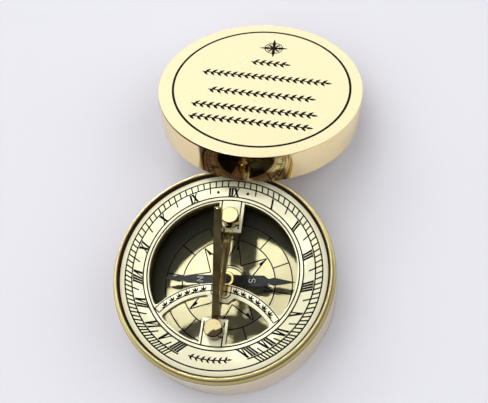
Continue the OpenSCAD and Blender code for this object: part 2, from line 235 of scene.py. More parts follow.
def turn(profile, steps=TURN_STEPS, closed=False):
    """Spins (radius, height, rounding) points round Z into a shell, each corner rounded."""
    bm = bmesh.new()
    verts = [bm.verts.new((p[0], 0, p[1])) for p in profile]
    ends = verts[1:] + verts[:1] if closed else verts[1:]
    for a, b in zip(verts, ends):
        bm.edges.new((a, b))
    rounded = [(v, p[2]) for v, p in zip(verts, profile) if len(p) > 2]
    for vert, rounding in rounded:
        bmesh.ops.bevel(bm, geom=[vert], offset=rounding, offset_type="OFFSET", segments=6,
                        profile=0.5, affect="VERTICES", material=-1)
    bmesh.ops.spin(bm, geom=bm.verts[:] + bm.edges[:], cent=(0, 0, 0), axis=(0, 0, 1),
                   angle=2 * math.pi, steps=steps, use_merge=True)
    bmesh.ops.remove_doubles(bm, verts=bm.verts, dist=1e-4)
    bmesh.ops.recalc_face_normals(bm, faces=bm.faces)
    return bm


def slab(bm, corners, low, high):
    """Adds an upright prism on a flat outline."""
    face = bm.faces.new([bm.verts.new((p[0], p[1], low)) for p in corners])
    grown = bmesh.ops.extrude_face_region(bm, geom=[face])["geom"]
    top = [g for g in grown if isinstance(g, bmesh.types.BMVert)]
    bmesh.ops.translate(bm, vec=(0, 0, high - low), verts=top)


def strip(bm, start, end, width, low, high):
    """Adds a straight line of some width as a thin prism."""
    start, end = Vector(start[:2]), Vector(end[:2])
    side = (end - start).orthogonal().normalized() * width / 2
    slab(bm, (start - side, start + side, end + side, end - side), low, high)


def line_section(bm, radius, width, low, high, centre, angle=0.0):
    """Adds the four corners of a circle line's section, at an angle from +X."""
    return [bm.verts.new((centre[0] + (radius + side * width / 2) * math.cos(angle),
                          centre[1] + (radius + side * width / 2) * math.sin(angle), z))
            for side, z in ((-1, low), (1, low), (1, high), (-1, high))]


def loop_line(bm, radius, width, low, high, centre=(0, 0), steps=TURN_STEPS):
    """Adds a full circle line."""
    verts = line_section(bm, radius, width, low, high, centre)
    edges = [bm.edges.new((verts[i], verts[i - 1])) for i in range(4)]
    bmesh.ops.spin(bm, geom=verts + edges, cent=(*centre, 0), axis=(0, 0, 1),
                   angle=2 * math.pi, steps=steps, use_merge=True)


def arc_line(bm, radius, width, low, high, first, last, centre=(0, 0), steps=48):
    """Adds a line along a circle from one angle to another, in degrees from +X."""
    face = bm.faces.new(line_section(bm, radius, width, low, high, centre,
                                     math.radians(first)))
    bmesh.ops.spin(bm, geom=[face], cent=(*centre, 0), axis=(0, 0, 1),
                   angle=math.radians(last - first), steps=steps)


def dot(bm, centre, radius, low, high, steps=16):
    """Adds a small round spot."""
    slab(bm, [(centre[0] + radius * math.cos(2 * math.pi * i / steps),
               centre[1] + radius * math.sin(2 * math.pi * i / steps)) for i in range(steps)],
         low, high)


def leaf(bm, base, tip, width, low, high):
    """Adds a pointed leaf from its base to its tip."""
    base, tip = Vector(base[:2]), Vector(tip[:2])
    side = (tip - base).orthogonal().normalized() * width / 2
    left = [base.lerp(tip, t) + w * side for t, w in LEAF_SHAPE]
    right = [base.lerp(tip, t) - w * side for t, w in reversed(LEAF_SHAPE)]
    slab(bm, [base, *left, tip, *right], low, high)


def merged_copy(node):
    """A welded copy of a CAD node's mesh, in millimetres, its flat faces made whole."""
    bm = bmesh.new()
    bm.from_mesh(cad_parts[node].data)
    bmesh.ops.scale(bm, vec=(1 / MM,) * 3, verts=bm.verts)
    bmesh.ops.remove_doubles(bm, verts=bm.verts, dist=1e-3)
    bmesh.ops.dissolve_limit(bm, angle_limit=math.radians(0.5), verts=bm.verts, edges=bm.edges)
    return bm


def soften(bm, offset):
    """Rounds off every sharp edge."""
    sharp = [e for e in bm.edges if e.is_manifold and e.calc_face_angle(0) > SHARP_ANGLE]
    bmesh.ops.bevel(bm, geom=sharp, offset=offset, offset_type="OFFSET", segments=2,
                    profile=0.5, affect="EDGES", clamp_overlap=True, material=-1)


def new_piece(name, bm, body, material, replaced=(), smooth=True):
    """Makes the finished mesh a piece that rides on a CAD body."""
    bmesh.ops.scale(bm, vec=(MM,) * 3, verts=bm.verts)
    mesh = bpy.data.meshes.new(name)
    bm.to_mesh(mesh)
    bm.free()
    mesh.polygons.foreach_set("use_smooth", [smooth] * len(mesh.polygons))
    if smooth:
        mesh.set_sharp_from_angle(angle=SMOOTH_ANGLE)
    mesh.materials.append(material)
    piece = bpy.data.objects.new(name, mesh)
    bpy.context.scene.collection.objects.link(piece)
    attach(piece, body)
    if replaced:
        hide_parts(*replaced)
    return piece


def inlay_piece(name, bm, body, material, place=None):
    """Makes flat line work a piece: its normals put right, and moved to where it lies."""
    bmesh.ops.recalc_face_normals(bm, faces=bm.faces)
    if place:
        bmesh.ops.transform(bm, matrix=place, verts=bm.verts)
    return new_piece(name, bm, body, material, smooth=False)


class Field:
    """A value in a node tree. Sums and products with it add Math nodes."""

    def __init__(self, nodes, socket):
        self.nodes, self.socket = nodes, socket

    def _math(self, operation, first, second):
        return self.nodes.add("ShaderNodeMath", {"operation": operation}, {0: first, 1: second})

    def __add__(self, other):
        return self._math("ADD", self, other)

    def __sub__(self, other):
        return self._math("SUBTRACT", self, other)

    def __rsub__(self, other):
        return self._math("SUBTRACT", other, self)

    def __mul__(self, other):
        return self._math("MULTIPLY", self, other)

    def larger(self, other):
        return self._math("MAXIMUM", self, other)

    __radd__ = __add__
    __rmul__ = __mul__


class Nodes:
    """One node tree, with the few ways in which this object's finishes use it."""

    def __init__(self, tree):
        self.tree = tree

    def add(self, kind, settings=None, sockets=None, output=0):
        """Adds a node, sets it up, fills its sockets and returns one of its outputs."""
        node = self.tree.nodes.new(kind)
        for key, value in (settings or {}).items():
            setattr(node, key, value)
        self.fill(node, sockets or {})
        return Field(self, node.outputs[output])

    def fill(self, node, sockets):
        """Links or sets a node's input sockets."""
        for key, value in sockets.items():
            if isinstance(value, Field):
                self.tree.links.new(value.socket, node.inputs[key])
            elif node.inputs[key].type == "RGBA":
                node.inputs[key].default_value = (*value, 1)
            else:
                node.inputs[key].default_value = value

    def place(self):
        return self.add("ShaderNodeTexCoord", output=3)

    def parts(self, vector):
        node = self.add("ShaderNodeSeparateXYZ", sockets={0: vector}).socket.node
        return [Field(self, socket) for socket in node.outputs]

    def vector(self, operation, first, second, output=0):
        return self.add("ShaderNodeVectorMath", {"operation": operation},
                        {0: first, 1: second}, output)

    def noise(self, scale, detail):
        return self.add("ShaderNodeTexNoise", {"noise_dimensions": "3D"},
                        {"Vector": self.place(), "Scale": scale, "Detail": detail,
                         "Roughness": 0.55})

    def rings(self, radius, per_mm):
        """Fine uneven rings that follow a radius, as a lathe leaves them."""
        return self.add("ShaderNodeTexNoise", {"noise_dimensions": "1D"},
                        {"W": radius, "Scale": per_mm / MM, "Detail": 2.0})

    def ease(self, value, low, high, first=0.0, last=1.0):
        """Eases from first to last while a value goes from low to high."""
        return self.add("ShaderNodeMapRange", {"interpolation_type": "SMOOTHSTEP"},
                        {"Value": value, "From Min": low, "From Max": high,
                         "To Min": first, "To Max": last})

    def ease_mm(self, value, low, high, first=0.0, last=1.0):
        """The same with its limits in millimetres."""
        return self.ease(value, low * MM, high * MM, first, last)

    def blend(self, factor, first, second):
        """Mixes two colours."""
        return self.add("ShaderNodeMix", {"data_type": "RGBA"},
                        {0: factor, 6: first, 7: second}, output=2)

    def bump(self, height, strength, distance):
        return self.add("ShaderNodeBump", sockets={"Strength": strength, "Distance": distance,
                                                   "Height": height})

    def from_axis(self, centre, axis):
        """Distance from an axis, and height along it, both in metres."""
        off = self.vector("SUBTRACT", self.place(), tuple(c * MM for c in centre))
        height = self.vector("DOT_PRODUCT", off, tuple(axis), output=1)
        along = self.add("ShaderNodeVectorMath", {"operation": "SCALE"},
                         {0: tuple(axis), "Scale": height})
        flat = self.vector("SUBTRACT", off, along)
        radius = self.add("ShaderNodeVectorMath", {"operation": "LENGTH"}, {0: flat}, output=1)
        return radius, height


def scaled(colour, red, green, blue):
    """A colour with each of its channels scaled."""
    return tuple(value * share for value, share in zip(colour, (red, green, blue)))


def start_finish(name):
    """A new material with its shader and a way to add nodes."""
    material = bpy.data.materials.new(name)
    material.use_nodes = True
    nodes = Nodes(material.node_tree)
    return material, nodes, material.node_tree.nodes["Principled BSDF"]


def turned_brass(name, colour, brown, centre=(0, 0, 0), axis=(0, 0, 1), dark=None,
                 roughness=0.1, face=None):
    """Polished lathe-turned brass with faint rings, finger haze, brown specks, and brown where
    dark says, which paints shade and reflections.

    A face is given by the height at which it starts, in millimetres, its colour, its
    roughness, how strong its brown rings of painted reflection are, and how much of it is bare
    metal.
    """
    material, nodes, shader = start_finish(name)
    radius, height = nodes.from_axis(centre, axis)
    haze = nodes.noise(scale=55, detail=4)
    specks = nodes.noise(scale=900, detail=2)
    marks = nodes.rings(radius + height, per_mm=6)
    tone = nodes.blend(nodes.ease(haze, 0.35, 0.75, 0, 0.35), colour,
                       scaled(colour, 0.97, 0.9, 0.78))
    polish = nodes.ease(haze, 0.3, 0.8, roughness, roughness + 0.08)
    metal = 1.0
    if face:
        start, face_colour, face_roughness, reflection_streak, bare = face
        on_face = nodes.ease_mm(height, start - 0.08, start)
        # Painted reflection: brown rings on the face stand in for dark bands that it mirrors.
        reflection_streaks = nodes.rings(radius + height * 0.7, per_mm=1.7)
        reflection_streaks = nodes.ease(reflection_streaks, 0.5, 0.72, 0, reflection_streak)
        tone = nodes.blend(on_face, tone, nodes.blend(reflection_streaks, face_colour, brown))
        polish = polish + on_face * (face_roughness - roughness)
        metal = 1.0 - on_face * (1 - bare)
    # Painted shade and painted reflections: the dark mask browns the metal where it lies.
    if dark:
        tone = nodes.blend(dark(nodes, radius, height), tone, brown)
    spots = nodes.ease(specks, 0.7, 0.78, 0, 0.5)
    nodes.fill(shader, {
        "Base Color": nodes.blend(spots, tone, brown),
        "Metallic": metal,
        "Roughness": polish + spots * 0.2,
        "Normal": nodes.bump(marks + specks * 0.4, 0.12, MARK_DEPTH),
    })
    return material


def satin_plate(name, colour, gold, dark):
    """The pale satin face of the hour plate, gold at its edges, with painted shade underneath and
    a gold tongue streaked with painted reflection.
    """
    material, nodes, shader = start_finish(name)
    radius, height = nodes.from_axis((0, 0, 0), (0, 0, 1))
    cloud = nodes.noise(scale=70, detail=4)
    grain = nodes.noise(scale=2600, detail=2)
    marks = nodes.rings(radius, per_mm=9)
    side = nodes.ease_mm(height, DIAL_Z - 0.12, DIAL_Z - 0.02, 1, 0)
    # Painted shade: the plate's underside is dark.
    under = nodes.ease_mm(height, PLATE_Z + 0.05, PLATE_Z + 0.3, 1, 0)
    face = nodes.blend(nodes.ease(cloud, 0.35, 0.7, 0, 0.5), colour,
                       scaled(colour, 0.98, 0.96, 0.9))
    # Painted reflection: the tongue is gold with dark streaks.
    half_wide, half_tall = (half * MM for half in TONGUE_HALF)
    across = nodes.from_axis(TONGUE_AT, (1, 0, 0))[1] * (1 / half_wide)
    along = nodes.from_axis(TONGUE_AT, (0, 1, 0))[1] * (1 / half_tall)
    on_tongue = nodes.ease(across * across + along * along, 0.85, 1, 1, 0)
    reflection_streaks = nodes.rings(across * half_wide, per_mm=0.9)
    reflection_streaks = nodes.ease(reflection_streaks, 0.4, 0.62, 0.15, 0.85)
    face = nodes.blend(on_tongue, face, nodes.blend(reflection_streaks, gold, dark))
    nodes.fill(shader, {
        "Base Color": nodes.blend(under, nodes.blend(side, face, gold), dark),
        "Metallic": side * 0.65 + 0.35,
        "Roughness": nodes.ease(cloud, 0.3, 0.7, 0.47, 0.52) - side * 0.25,
        "Normal": nodes.bump(grain + marks, 0.1, MARK_DEPTH),
    })
    return material


def card_metal(name, colour):
    """The compass card: bright brass, polished enough to mirror the plate above it."""
    material, nodes, shader = start_finish(name)
    radius, _ = nodes.from_axis((0, 0, 0), (0, 0, 1))
    cloud = nodes.noise(scale=90, detail=4)
    nodes.fill(shader, {
        "Base Color": nodes.blend(nodes.ease(cloud, 0.3, 0.7, 0, 0.6), colour,
                                  scaled(colour, 0.97, 0.95, 0.86)),
        "Metallic": 1.0,
        "Roughness": nodes.ease(cloud, 0.3, 0.75, 0.44, 0.5),
        "Normal": nodes.bump(nodes.rings(radius, per_mm=7), 0.08, MARK_DEPTH),
    })
    return material


def flat_paint(name, colour, roughness, metallic=0.0, gloss=0.5):
    """Filler, paint or rubber with a slight mottle."""
    material, nodes, shader = start_finish(name)
    mottle = nodes.noise(scale=1500, detail=3)
    nodes.fill(shader, {
        "Base Color": nodes.blend(nodes.ease(mottle, 0.45, 0.8), colour,
                                  scaled(colour, 1.6, 1.6, 1.6)),
        "Metallic": metallic,
        "Roughness": nodes.ease(mottle, 0.3, 0.7, roughness - 0.08, roughness + 0.08),
        "Normal": nodes.bump(mottle, 0.1, MARK_DEPTH),
        "Specular IOR Level": gloss,
    })
    return material


def clear_glass(name):
    """Clear glass: a mirror only as strong as its reflection, and open elsewhere."""
    material, nodes, shader = start_finish(name)
    smear = nodes.noise(scale=120, detail=3)
    mirror = nodes.add("ShaderNodeFresnel", sockets={"IOR": 1.45})
    nodes.fill(shader, {
        "Base Color": (0.92, 1.0, 0.97),
        "Metallic": 1.0,
        "Roughness": nodes.ease(smear, 0.4, 0.8, 0.02, 0.05),
        "Alpha": mirror * 0.9 + nodes.ease(smear, 0.5, 0.9, 0, 0.01),
    })
    return material


def length(name, description, millimetres):
    return bpy.props.FloatProperty(name=name, description=description, min=0.0, precision=5,
                                   default=millimetres * MM, subtype="DISTANCE", unit="LENGTH")


def swatch(name, description, value):
    return bpy.props.FloatVectorProperty(name=name, description=description, size=3, min=0.0,
                                         max=1.0, default=value, subtype="COLOR")


def radiance(name, description, value):
    return bpy.props.FloatProperty(name=name, description=description, default=value, min=0.0)


def power(name, description, watts):
    return bpy.props.FloatProperty(name=name, description=description, default=watts, min=0.0,
                                   subtype="POWER", unit="POWER")


class SundialSizes(bpy.types.PropertyGroup):
    """Sizes of the engraving and of the broken edges."""
    line_width: length("Line width", "Width of the engraved lines on the hour plate", 0.45)
    card_line: length("Card line width", "Width of the lines on the compass card", 0.42)
    fill_height: length("Filler height", "Height of the black filler above the metal", 0.02)
    numeral_height: length("Numeral height", "Height of the Roman numerals", 3.25)
    thick_stroke: length("Thick stroke", "Width of the numerals' thick strokes", 0.72)
    thin_stroke: length("Thin stroke", "Width of the numerals' thin strokes", 0.46)
    outer_line: length("Outer circle", "Radius of the circle outside the minute band", 32.9)
    minute_line: length("Minute circle", "Radius of the circle inside the minute band", 30.57)
    hour_line: length("Hour circle", "Radius of the circle inside the numerals", 26.72)
    inner_line: length("Inner circle", "Radius of the innermost circle", 25.45)
    edge_round: length("Edge rounding", "Rounding of the plate's and the gnomon's edges", 0.12)
    lid_line: length("Lid circle", "Radius of the engraved circle on the lid", 32.0)


class SundialColours(bpy.types.PropertyGroup):
    """Colours of the finishes."""
    brass: swatch("Brass", "Polished brass of the gnomon and the posts", (0.87, 0.7, 0.3))
    wall: swatch("Case wall", "Polished brass of the case's wall", (0.88, 0.75, 0.5))
    lid_wall: swatch("Lid wall", "Polished brass of the lid's wall", (0.96, 0.79, 0.45))
    rim: swatch("Rim", "Satin brass of the case's shoulder, neck and lip", (1.0, 0.86, 0.41))
    lid_brass: swatch("Lid face", "Pale polished face of the lid", (0.92, 0.83, 0.51))
    post_top: swatch("Post tops", "Satin tops of the posts", (0.8, 0.71, 0.38))
    cap: swatch("Needle cap", "Brass ring in the middle of the needle", (0.8, 0.55, 0.2))
    plate: swatch("Plate", "Pale satin face of the hour plate", (0.93, 0.9, 0.64))
    card: swatch("Card", "Polished compass card", (0.86, 0.8, 0.5))
    # This colour browns the specks, and serves the painted shade and painted reflections in the
    # case's corners, rim and bore, on the posts, the gnomon and the cap, and on and under the hour
    # plate.
    tarnish_and_shade: swatch("Tarnish", "Brown in the corners of the brass", (0.035, 0.013, 0.005))
    # This colour browns the lid's specks, and is the painted reflection where the lid leans on the
    # lip.
    stain_and_reflection: swatch("Stain", "Red-brown where the lid leans on the lip", (0.07, 0.018, 0.003))
    filler: swatch("Filler", "Black filler in the engraving", (0.008, 0.008, 0.008))
    needle: swatch("Needle", "Blackened steel of the needle", (0.018, 0.02, 0.018))
    letters: swatch("Letters", "White letters on the needle", (0.8, 0.8, 0.76))
    jewel: swatch("Jewel", "Bearing stone in the cap", (0.003, 0.024, 0.018))
    floor: swatch("Floor", "Pale studio floor", (0.695, 0.69, 0.743))


class SundialLight(bpy.types.PropertyGroup):
    """Strengths of the studio light."""
    tent: radiance("Tent", "Radiance of the white tent", 1.02)
    front: radiance("Front", "Radiance of the tent's dark zones", 0.1)
    backdrop: radiance("Backdrop", "Brightness of the background in view", 0.82)
    key: power("Key", "Power of the softbox in watts", 2.7)
    fill: power("Fill", "Power in watts that each fill lamp has a share of", 10.2)


def polar(radius, angle):
    """A point on the dial by its radius and its angle from noon, clockwise, in degrees."""
    a = math.radians(angle)
    return Vector((radius * math.sin(a), radius * math.cos(a)))


def on_hour_line(radius, at_numerals, at_minutes):
    """A point on an hour line that runs through two given dial angles."""
    slope = (at_minutes - at_numerals) / (MINUTE_R - NUMERAL_R)
    return polar(radius, at_numerals + slope * (radius - NUMERAL_R))


def draw_scale(bm, sizes, hours, low, high):
    """Ten-minute ticks in the band, with every half hour drawn on into the numerals."""
    width = sizes.line_width / MM
    outer, inner = sizes.outer_line / MM, sizes.minute_line / MM
    for (_, n0, m0), (_, n1, m1) in zip(hours, hours[1:]):
        for k in range(6):
            t = k / 6
            angles = (n0 + (n1 - n0) * t, m0 + (m1 - m0) * t)
            reach = HALF_HOUR_R if k == 3 else inner
            strip(bm, on_hour_line(outer, *angles), on_hour_line(reach, *angles), width, low, high)
    last = hours[-1][1:]
    strip(bm, on_hour_line(outer, *last), on_hour_line(inner, *last), width, low, high)


def draw_numeral(bm, sizes, text, at_numerals, at_minutes, low, high):
    """A Roman numeral with its feet outwards, its strokes laid along the hour line."""
    tall = sizes.numeral_height / MM
    thick, thin = sizes.thick_stroke / MM, sizes.thin_stroke / MM
    foot_r = NUMERAL_R + tall / 2
    wide = sum(LETTERS[c][0] for c in text)
    slope = (at_minutes - at_numerals) / (MINUTE_R - NUMERAL_R)

    def spot(across, up):
        radius = foot_r - up
        back = math.degrees(across / NUMERAL_R)
        return polar(radius, at_numerals - back + slope * (radius - NUMERAL_R))

    def bar(foot, head, width, low_up, high_up):
        slab(bm, (spot(foot - width / 2, low_up), spot(foot + width / 2, low_up),
                  spot(head + width / 2, high_up), spot(head - width / 2, high_up)), low, high)

    pen = -wide / 2
    for letter in text:
        advance, strokes = LETTERS[letter]
        middle = pen + advance / 2
        for foot, head, heavy in strokes:
            foot, head = middle + foot * advance, middle + head * advance
            width = (thick if letter == "I" else DIAGONAL * thick) if heavy else thin
            bar(foot, head, width, 0, tall)
            bar(head, head, width + SERIF_OUT, tall - SERIF_TALL, tall)
            if letter != "V":
                bar(foot, foot, width + SERIF_OUT, 0, SERIF_TALL)
        pen += advance


def draw_border(bm, low, high, line):
    """Lines and leaves on the arched band, mirrored about the noon line."""
    centre, outer, inner = Vector((0, -BAND_DOWN)), BAND_OUTER, BAND_INNER
    reach = math.degrees(math.acos((outer ** 2 + BAND_DOWN ** 2 - BAND_END_R ** 2)
                                   / (2 * outer * BAND_DOWN)))
    for radius in (outer, inner):
        arc_line(bm, radius, line * FINE_LINE, low, high, 90 - reach, 90 + reach, centre)
    for side in (-1, 1):
        strip(bm, centre + polar(inner, side * reach), centre + polar(outer, side * reach),
              line * FINE_LINE, low, high)
        for i in range(BAND_CLUSTERS):
            angle = side * (FIRST_CLUSTER + CLUSTER_STEP * i)
            for base, base_turn, tip, tip_turn, width in CLUSTER:
                leaf(bm, centre + polar(inner + base, angle + side * base_turn),
                     centre + polar(inner + tip, angle + side * tip_turn), width, low, high)


def draw_sprig(bm, path, reach, line, low, high, leaves):
    """A stem along a path of t from 0 to 1, with leaves on both sides and one at its tip."""
    for i in range(2 * leaves):
        strip(bm, path(i / (2 * leaves)), path((i + 1.15) / (2 * leaves)), line, low, high)
    for i in range(leaves):
        base = path((i + 0.35) / leaves)
        ahead = (path((i + 1.35) / leaves) - base).normalized()
        across = Vector((-ahead.y, ahead.x))
        for side in (-1, 1):
            root = base + ahead * reach * (side * LEAF_STAGGER)
            tip = root + ahead * reach * LEAF_OUT + across * side * reach * LEAF_OUT
            leaf(bm, root, tip, reach * LEAF_WIDE, low, high)
    tip = path(1.0)
    ahead = (tip - path(0.97)).normalized()
    leaf(bm, tip - ahead * line, tip + ahead * reach * LAST_LEAF, reach * LEAF_WIDE, low, high)


def draw_dial(sizes):
    """All the line work of the hour plate."""
    bm = bmesh.new()
    low, high = DIAL_Z - SINK, DIAL_Z + sizes.fill_height / MM
    line = sizes.line_width / MM
    for radius in (sizes.outer_line, sizes.hour_line, sizes.inner_line):
        loop_line(bm, radius / MM, line, low, high)
    # Painted shade: a black ring at the plate's edge stands in for the shaded gap to the case.
    loop_line(bm, PLATE_R - EDGE_SHADE_IN, EDGE_SHADE_LINE, low, high)
    arc_line(bm, sizes.minute_line / MM, line, low, high, 90 + MINUTES_FROM, 90 + MINUTES_TO,
             steps=120)
    for hours in (AFTERNOON, MORNING):
        draw_scale(bm, sizes, hours, low, high)
        for text, at_numerals, at_minutes in hours[1:]:
            draw_numeral(bm, sizes, text, at_numerals, at_minutes, low, high)
    draw_numeral(bm, sizes, "XII", 0, 0, low, high)
    for angle in NOON_DOTS:
        dot(bm, polar(NOON_DOT_R, angle), NOON_DOT_HALF, low, high)
    draw_border(bm, low, high, line)
    for side in (-1, 1):
        x = TAB_MIDDLE + side * TAB_HALF
        for first, last in TAB_LINES:
            strip(bm, (x, first), (x, last), line, low, high)
    for a, b in zip(TONGUE_LINE, TONGUE_LINE[1:]):
        strip(bm, a, b, line * FINE_LINE, low, high)
    draw_sprig(bm, lambda t: polar(SPRIG_R, SPRIG_FROM + SPRIG_SWEEP * t), SPRIG_REACH,
               SPRIG_LINE, low, high, SPRIG_LEAVES)
    return bm


def draw_card(sizes):
    """Circles, ticks and the eight-point star of the compass card."""
    bm = bmesh.new()
    low, high = CARD_Z - SINK, CARD_Z + sizes.fill_height / MM
    line = sizes.card_line / MM
    for radius in CARD_CIRCLES:
        loop_line(bm, radius, line, low, high, steps=96)
    for i in range(12):
        ends = [polar(radius, TICK_FROM + 30 * i) for radius in CARD_CIRCLES[2:]]
        strip(bm, *ends, line, low, high)
    for i in range(8):
        tip_at = STAR_FROM + 45 * i
        tip = polar(STAR_TIP_R, tip_at)
        for side in (-1, 1):
            strip(bm, tip, polar(STAR_VALLEY_R, tip_at + side * 22.5), line, low, high)
        slab(bm, (tip, polar(STAR_SHADE_R, tip_at + STAR_SHADE_WIDTH),
                  polar(STAR_SHADE_R, tip_at)), low, high)
    return bm


def draw_lid(sizes):
    """The circle, the compass rose and the leaf rows on the lid's face."""
    bm = bmesh.new()
    low, high = -SINK, sizes.fill_height / MM
    loop_line(bm, sizes.lid_line / MM, LID_CIRCLE_LINE, low, high, LID_CIRCLE_AT, steps=128)
    middle = Vector(ROSE_AT)
    for i, (reach, width) in enumerate(ROSE_POINTS * 4):
        leaf(bm, middle, middle + polar(reach, 45 * i + ROSE_TURN), width, low, high)
    for radius, width, steps in ROSE_CIRCLES:
        loop_line(bm, radius, width, low, high, ROSE_AT, steps)
    for left, right, up in LID_ROWS:
        tilt = ROW_SLOPE * (right - left) / 2
        start, end = Vector((left, up - tilt)), Vector((right - ROW_TIP, up + tilt))
        draw_sprig(bm, lambda t: start.lerp(end, t), ROW_REACH, ROW_LINE, low, high,
                   leaves=round((right - left) / ROW_STEP))
    return bm


def case_painted_shade(nodes, radius, height):
    """Painted shade: brown in the crease round the plate, on the lip's chamfer and at the neck's
    foot.
    """
    neck_r = CASE_R - SHOULDER_W
    bore_r = neck_r - LIP_W
    foot_z = LIP_Z - NECK_H
    crease = nodes.ease_mm(radius, PLATE_R - 0.1, PLATE_R + 0.12, 1, 0)
    chamfer = nodes.ease_mm(radius, bore_r + 0.1, bore_r + 0.42, 1, 0)
    foot = nodes.ease_mm(height, foot_z + 0.3, foot_z + 0.7, 1, 0)
    by_neck = nodes.ease_mm(radius, neck_r + 0.05, neck_r + 0.2, 1, 0)
    on_neck = nodes.ease_mm(height, LIP_Z - 0.45, LIP_Z - 0.25, 0.6, 0)
    return chamfer + crease * 0.5 + by_neck * (foot * 0.28 + on_neck)


def post_painted_reflection(nodes, radius, height):
    """Painted reflection and shade: brown clouds on the posts' sides, which on the lower
    post reach over its top.
    """
    _, away = nodes.from_axis((0, 0, 0), (0, 1, 0))
    _, towards = nodes.from_axis(LOW_POST_AT, PATCH_SIDE)
    on_lower = nodes.ease_mm(away, -5, 5, 1, 0)
    cloud = nodes.noise(scale=260, detail=3) + on_lower * 0.25
    sides = nodes.ease(cloud, 0.4, 0.58, 0, 0.92) * nodes.ease_mm(
        height, POST_TOP - 0.25, POST_TOP - 0.1, 1, 0)
    ragged = towards + (nodes.noise(scale=500, detail=3) - 0.5) * (PATCH_RAGGED * MM)
    return sides.larger(on_lower * nodes.ease_mm(ragged, *PATCH_EDGE, 0, 0.94))


def cap_seat_shade(nodes, radius, height):
    """Painted shade: brown where the cap's ring holds the stone, and brown at its outer edge."""
    return (nodes.ease_mm(radius, JEWEL_R + 0.1, JEWEL_R + 0.5, 0.8, 0)
            + nodes.ease_mm(radius, CAP_R - 0.45, CAP_R - 0.1, 0, 0.8))


def gnomon_reflection_brown(nodes, radius, height):
    """Painted reflection: brown clouds along the gnomon, deeper at its low end."""
    cloud = nodes.noise(scale=110, detail=3)
    return nodes.ease(cloud, 0.35, 0.65, 0.1, 0.55) + nodes.ease_mm(height, *LOW_END, 0.35, 0)


def lid_painted_reflection(nodes, radius, height):
    """Painted reflection: brown where the lid's wall leans on the lip, and a fine line below
    the face.
    """
    _, across = nodes.from_axis((0, 0, 0), (1, 0, 0))
    _, away = nodes.from_axis((0, 0, 0), (0, 1, 0))
    near = nodes.ease_mm(away, *REFLECTION_AWAY, 1, 0) * nodes.ease_mm(
        height, LID_H - 0.5, LID_H - 0.4, 1, 0)
    left = nodes.ease_mm(across, *REFLECTION_LEFT) * nodes.ease_mm(across, *REFLECTION_SPLIT, 1, 0)
    right = nodes.ease_mm(across, *REFLECTION_SPLIT) * nodes.ease_mm(across, *REFLECTION_RIGHT, 1, 0)
    edge = (nodes.ease_mm(height, LID_H - 1.0, LID_H - 0.75)
            * nodes.ease_mm(height, LID_H - 0.2, LID_H - 0.12, 1, 0)
            * nodes.ease_mm(across, *EDGE_ACROSS, 1, 0) * nodes.ease_mm(away, *EDGE_AWAY, 1, 0))
    cloud = nodes.noise(scale=130, detail=2)
    leaning = near * (left * nodes.ease(cloud, 0.3, 0.6, 1, 0.93)
                      + right * nodes.ease(cloud, 0.42, 0.58, 0.3, 0.92))
    return leaning.larger(edge)


def make_brass(colours):
    """Makes the brass of every turned part."""
    brown, brass = colours.tarnish_and_shade, colours.brass
    turned_brass("turned_case", colours.wall, brown, dark=case_painted_shade,
                 face=(LIP_Z - NECK_H - 0.35, colours.rim, 0.28, 0.6, 0.62))
    turned_brass("lid_brass", colours.lid_wall, colours.stain_and_reflection, LID_MOUTH, LID_AXIS,
                 dark=lid_painted_reflection, roughness=0.06,
                 face=(LID_H - 0.1, colours.lid_brass, 0.26, 0, 0.36))
    turned_brass("post_brass", brass, brown, dark=post_painted_reflection,
                 face=(POST_TOP, colours.post_top, 0.5, 0, 0.8))
    turned_brass("gnomon_brass", brass, brown, (0, 0, DIAL_Z), (0, 1, 0), dark=gnomon_reflection_brown)
    turned_brass("cap_brass", colours.cap, brown, dark=cap_seat_shade, roughness=0.3)
    turned_brass("chamber_brass", scaled(brass, 0.12, 0.12, 0.12), brown, roughness=0.35)


def finish(name):
    """A brass finish by its name. The first call makes all of them."""
    if name not in bpy.data.materials:
        make_brass(bpy.context.scene.sundial_colours)
    return bpy.data.materials[name]


def dress_node(node, material):
    """Gives a CAD node that stays in view its finish."""
    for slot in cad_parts[node].material_slots:
        slot.material = material


class SUNDIAL_OT_case(bpy.types.Operator):
    """Turn the case with its foot, shoulder, neck and lip"""
    bl_idname = "sundial.case"
    bl_label = "Case"

    def execute(self, context):
        neck_r = CASE_R - SHOULDER_W
        bore_r = neck_r - LIP_W
        shoulder_z = LIP_Z - NECK_H
        card_z = span("compass_card")[0].z
        case = turn((
            (0, 0), (CASE_R, 0, FOOT_R), (CASE_R, shoulder_z, 0.3), (neck_r, shoulder_z, 0.12),
            (neck_r, LIP_Z, 0.28), (bore_r + CHAMFER_W, LIP_Z, 0.08),
            (bore_r, LIP_Z - CHAMFER_H, 0.1), (bore_r, card_z), (bore_r - LEDGE_W, card_z),
            (bore_r - LEDGE_W, FLOOR_T), (SPIGOT_R, FLOOR_T), (SPIGOT_R, SPIGOT_Z),
            (0, SPIGOT_Z)))
        shell = new_piece("case_shell", case, "base", finish("turned_case"),
                          ["case_body"])
        brown = context.scene.sundial_colours.tarnish_and_shade
        # Painted shade: the bore between the card and the lip is dark brown paint.
        shell.data.materials.append(flat_paint("bore_brown", brown, 0.7, gloss=0.05))
        for face in shell.data.polygons:  # the bore between the card and the lip is brown
            spot = face.center / MM
            if card_z < spot.z < LIP_Z - 0.1 and spot.xy.length < bore_r + 0.02:
                face.material_index = 1
        return {"FINISHED"}


